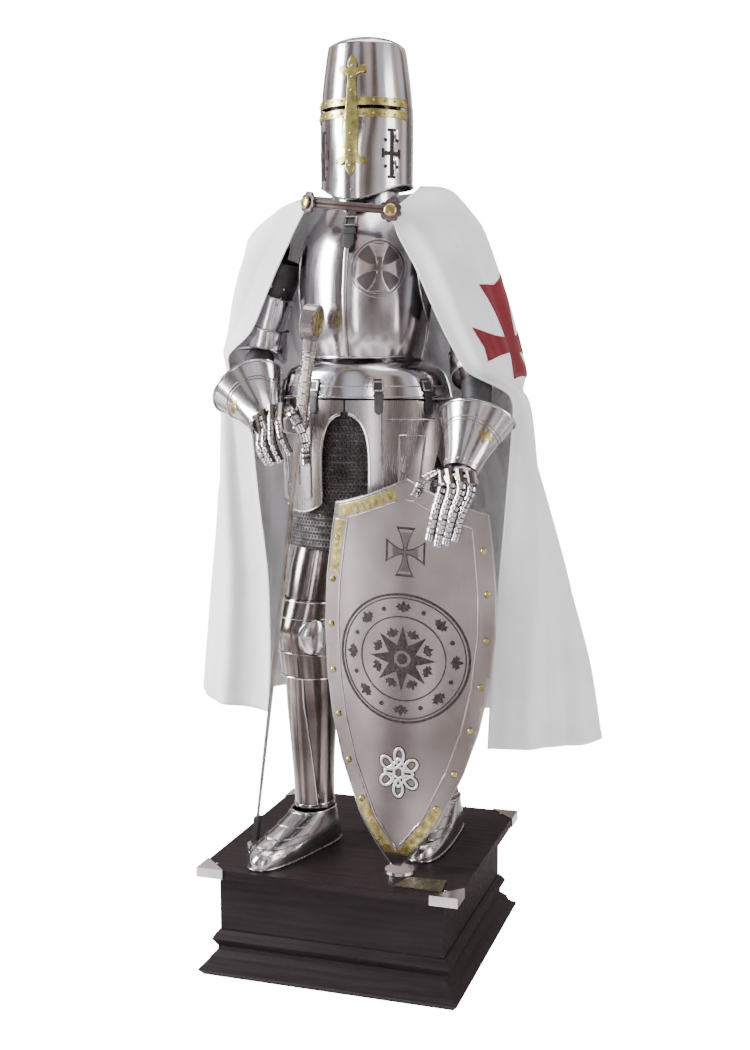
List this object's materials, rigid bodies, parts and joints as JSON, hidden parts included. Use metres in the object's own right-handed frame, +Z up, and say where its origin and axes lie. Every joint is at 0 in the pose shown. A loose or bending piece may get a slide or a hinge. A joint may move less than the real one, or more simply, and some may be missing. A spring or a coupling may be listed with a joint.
{
  "type": "suit of plate armour on a display plinth",
  "caption": "Full plate harness with a closed flat-topped helm, white mantle, sword and kite shield, standing on a square moulded plinth.",
  "frame": {"origin": "middle of the plinth's underside, on the floor", "axes": "+Z up; the suit faces -Y; its own right hand is on -X"},
  "size_m": [1.0043, 0.608, 2.0996],
  "materials": {
    "polished_steel": "polished",
    "satin_steel": "satin, fluted",
    "brass": "aged",
    "mail": "blackened rings",
    "black_leather": "matt",
    "brown_leather": "matt",
    "white_cloth": "heavy wool",
    "red_cloth": "wool",
    "dark_wood": "stained, satin lacquer"
  },
  "bodies": {
    "suit": {"arming_sleeve_L": "black_leather", "arming_sleeve_R": "black_leather", "backplate": "polished_steel", "breastplate": "polished_steel", "clasp_strap": "brown_leather", "corner_cap_1": "polished_steel", "corner_cap_2": "polished_steel", "corner_cap_3": "polished_steel", "corner_cap_4": "polished_steel", "couter_L": "polished_steel", "couter_R": "polished_steel", "cuisse_L": "polished_steel", "cuisse_R": "polished_steel", "culet": "polished_steel", "fauld": "polished_steel", "gauntlet_cuff_L": "polished_steel", "gauntlet_cuff_R": "polished_steel", "gauntlet_hand_L": "polished_steel", "gauntlet_hand_R": "polished_steel", "gorget": "polished_steel", "greave_back_L": "satin_steel", "greave_back_R": "satin_steel", "greave_front_L": "polished_steel", "greave_front_R": "polished_steel", "hip_plate_L": "satin_steel", "hip_plate_R": "satin_steel", "mail_skirt": "mail", "mantle_back": "white_cloth", "mantle_cross": "red_cloth", "mantle_front_L": "white_cloth", "mantle_front_R": "white_cloth", "pauldron_L": "polished_steel", "pauldron_R": "polished_steel", "plaque": "brass", "plinth_base": "dark_wood", "plinth_board": "dark_wood", "plinth_body": "dark_wood", "poleyn_L": "satin_steel", "poleyn_R": "satin_steel", "rerebrace_L": "polished_steel", "rerebrace_R": "polished_steel", "rosette_L": "brown_leather", "rosette_R": "brown_leather", "sabaton_L": "polished_steel", "sabaton_R": "polished_steel", "shield": "satin_steel", "shield_foot": "polished_steel", "sword_blade": "polished_steel", "sword_foot": "polished_steel", "sword_hilt": "brass", "sword_pommel": "satin_steel", "sword_tip_cap": "black_leather", "tasset_L": "satin_steel", "tasset_R": "satin_steel", "vambrace_L": "black_leather", "vambrace_R": "black_leather"},
    "helm": {"helm_cross": "brass", "helm_face": "polished_steel", "helm_skull": "polished_steel"}
  },
  "joints": [
    {"name": "helm_lift", "type": "slide", "parent": "suit", "child": "helm", "axis": [0, 0, 1], "range_m": [0, 0.35]}
  ]
}
